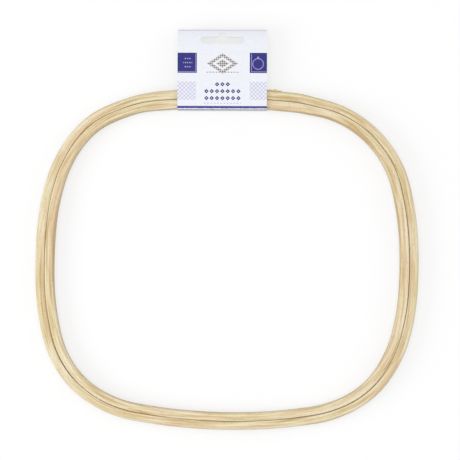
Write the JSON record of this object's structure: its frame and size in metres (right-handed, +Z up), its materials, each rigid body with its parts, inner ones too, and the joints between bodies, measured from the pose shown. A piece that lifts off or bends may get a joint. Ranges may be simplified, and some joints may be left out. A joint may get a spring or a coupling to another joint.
{
  "type": "square embroidery frame",
  "caption": "Rounded square embroidery frame: closed inner ring in a split outer ring, closed by a brass tension screw, with a folded hang card round its top edge.",
  "frame": {"origin": "middle of the whole object's footprint, on the surface that it lies on", "axes": "+X across the frame, +Y towards the tension screw and the hang card, +Z up from the surface it lies on"},
  "size_m": [0.28, 0.2936, 0.0118],
  "materials": {
    "pale_beech": "steam-bent beech strip, sanded, unvarnished",
    "steamed_beech": "steam-bent beech strip, scarfed and glued into a closed ring, sanded",
    "sheet_brass": "rolled sheet brass, slightly dulled",
    "rivet_brass": "headed brass wire, bright",
    "turned_brass": "turned brass, fluted grip",
    "washer_brass": "stamped brass",
    "nut_brass": "sawn brass bar",
    "white_card": "coated white card, printed in violet blue",
    "clear_tape": "double-sided adhesive tape"
  },
  "bodies": {
    "outer_frame": {"outer_hoop": "pale_beech", "bracket_left": "sheet_brass", "bracket_right": "sheet_brass", "rivet_left_1": "rivet_brass", "rivet_left_2": "rivet_brass", "rivet_left_3": "rivet_brass", "rivet_right_1": "rivet_brass", "rivet_right_2": "rivet_brass", "rivet_right_3": "rivet_brass", "square_nut": "nut_brass"},
    "inner_frame": {"inner_hoop": "steamed_beech"},
    "washer": {"screw_washer": "washer_brass"},
    "screw": {"tension_screw": "turned_brass"},
    "hang_card": {"card_back": "white_card", "card_tape": "clear_tape"},
    "card_front_leaf": {"card_front": "white_card"}
  },
  "joints": [
    {"name": "inner_hoop_lift", "type": "slide", "parent": "outer_frame", "child": "inner_frame", "axis": [0, 0, 1], "range_m": [0, 0.011]},
    {"name": "screw_travel", "type": "slide", "parent": "outer_frame", "child": "washer", "axis": [1, 0, 0], "range_m": [0, 0.006]},
    {"name": "screw_turn", "type": "hinge", "parent": "washer", "child": "screw", "pos_m": [0.0069, 0.10961, 0.00545], "axis": [1, 0, 0], "range_deg": [0, 3086]},
    {"name": "card_slide_along_band", "type": "hinge", "parent": "outer_frame", "child": "hang_card", "pos_m": [0, -0.27979, 0.00545], "axis": [0, 0, 1], "range_deg": [-5.8, 4.1]},
    {"name": "card_front_open", "type": "hinge", "parent": "hang_card", "child": "card_front_leaf", "pos_m": [-0.00549, 0.08752, 0.0002], "axis": [0.9999, 0.015, 0], "range_deg": [0, 90]}
  ],
  "couplings": [
    {"joint": "screw_turn", "follows": "screw_travel", "rad_per_m": 8976},
    {"joint": "card_front_open", "follows": "inner_hoop_lift", "rad_per_m": 142}
  ]
}
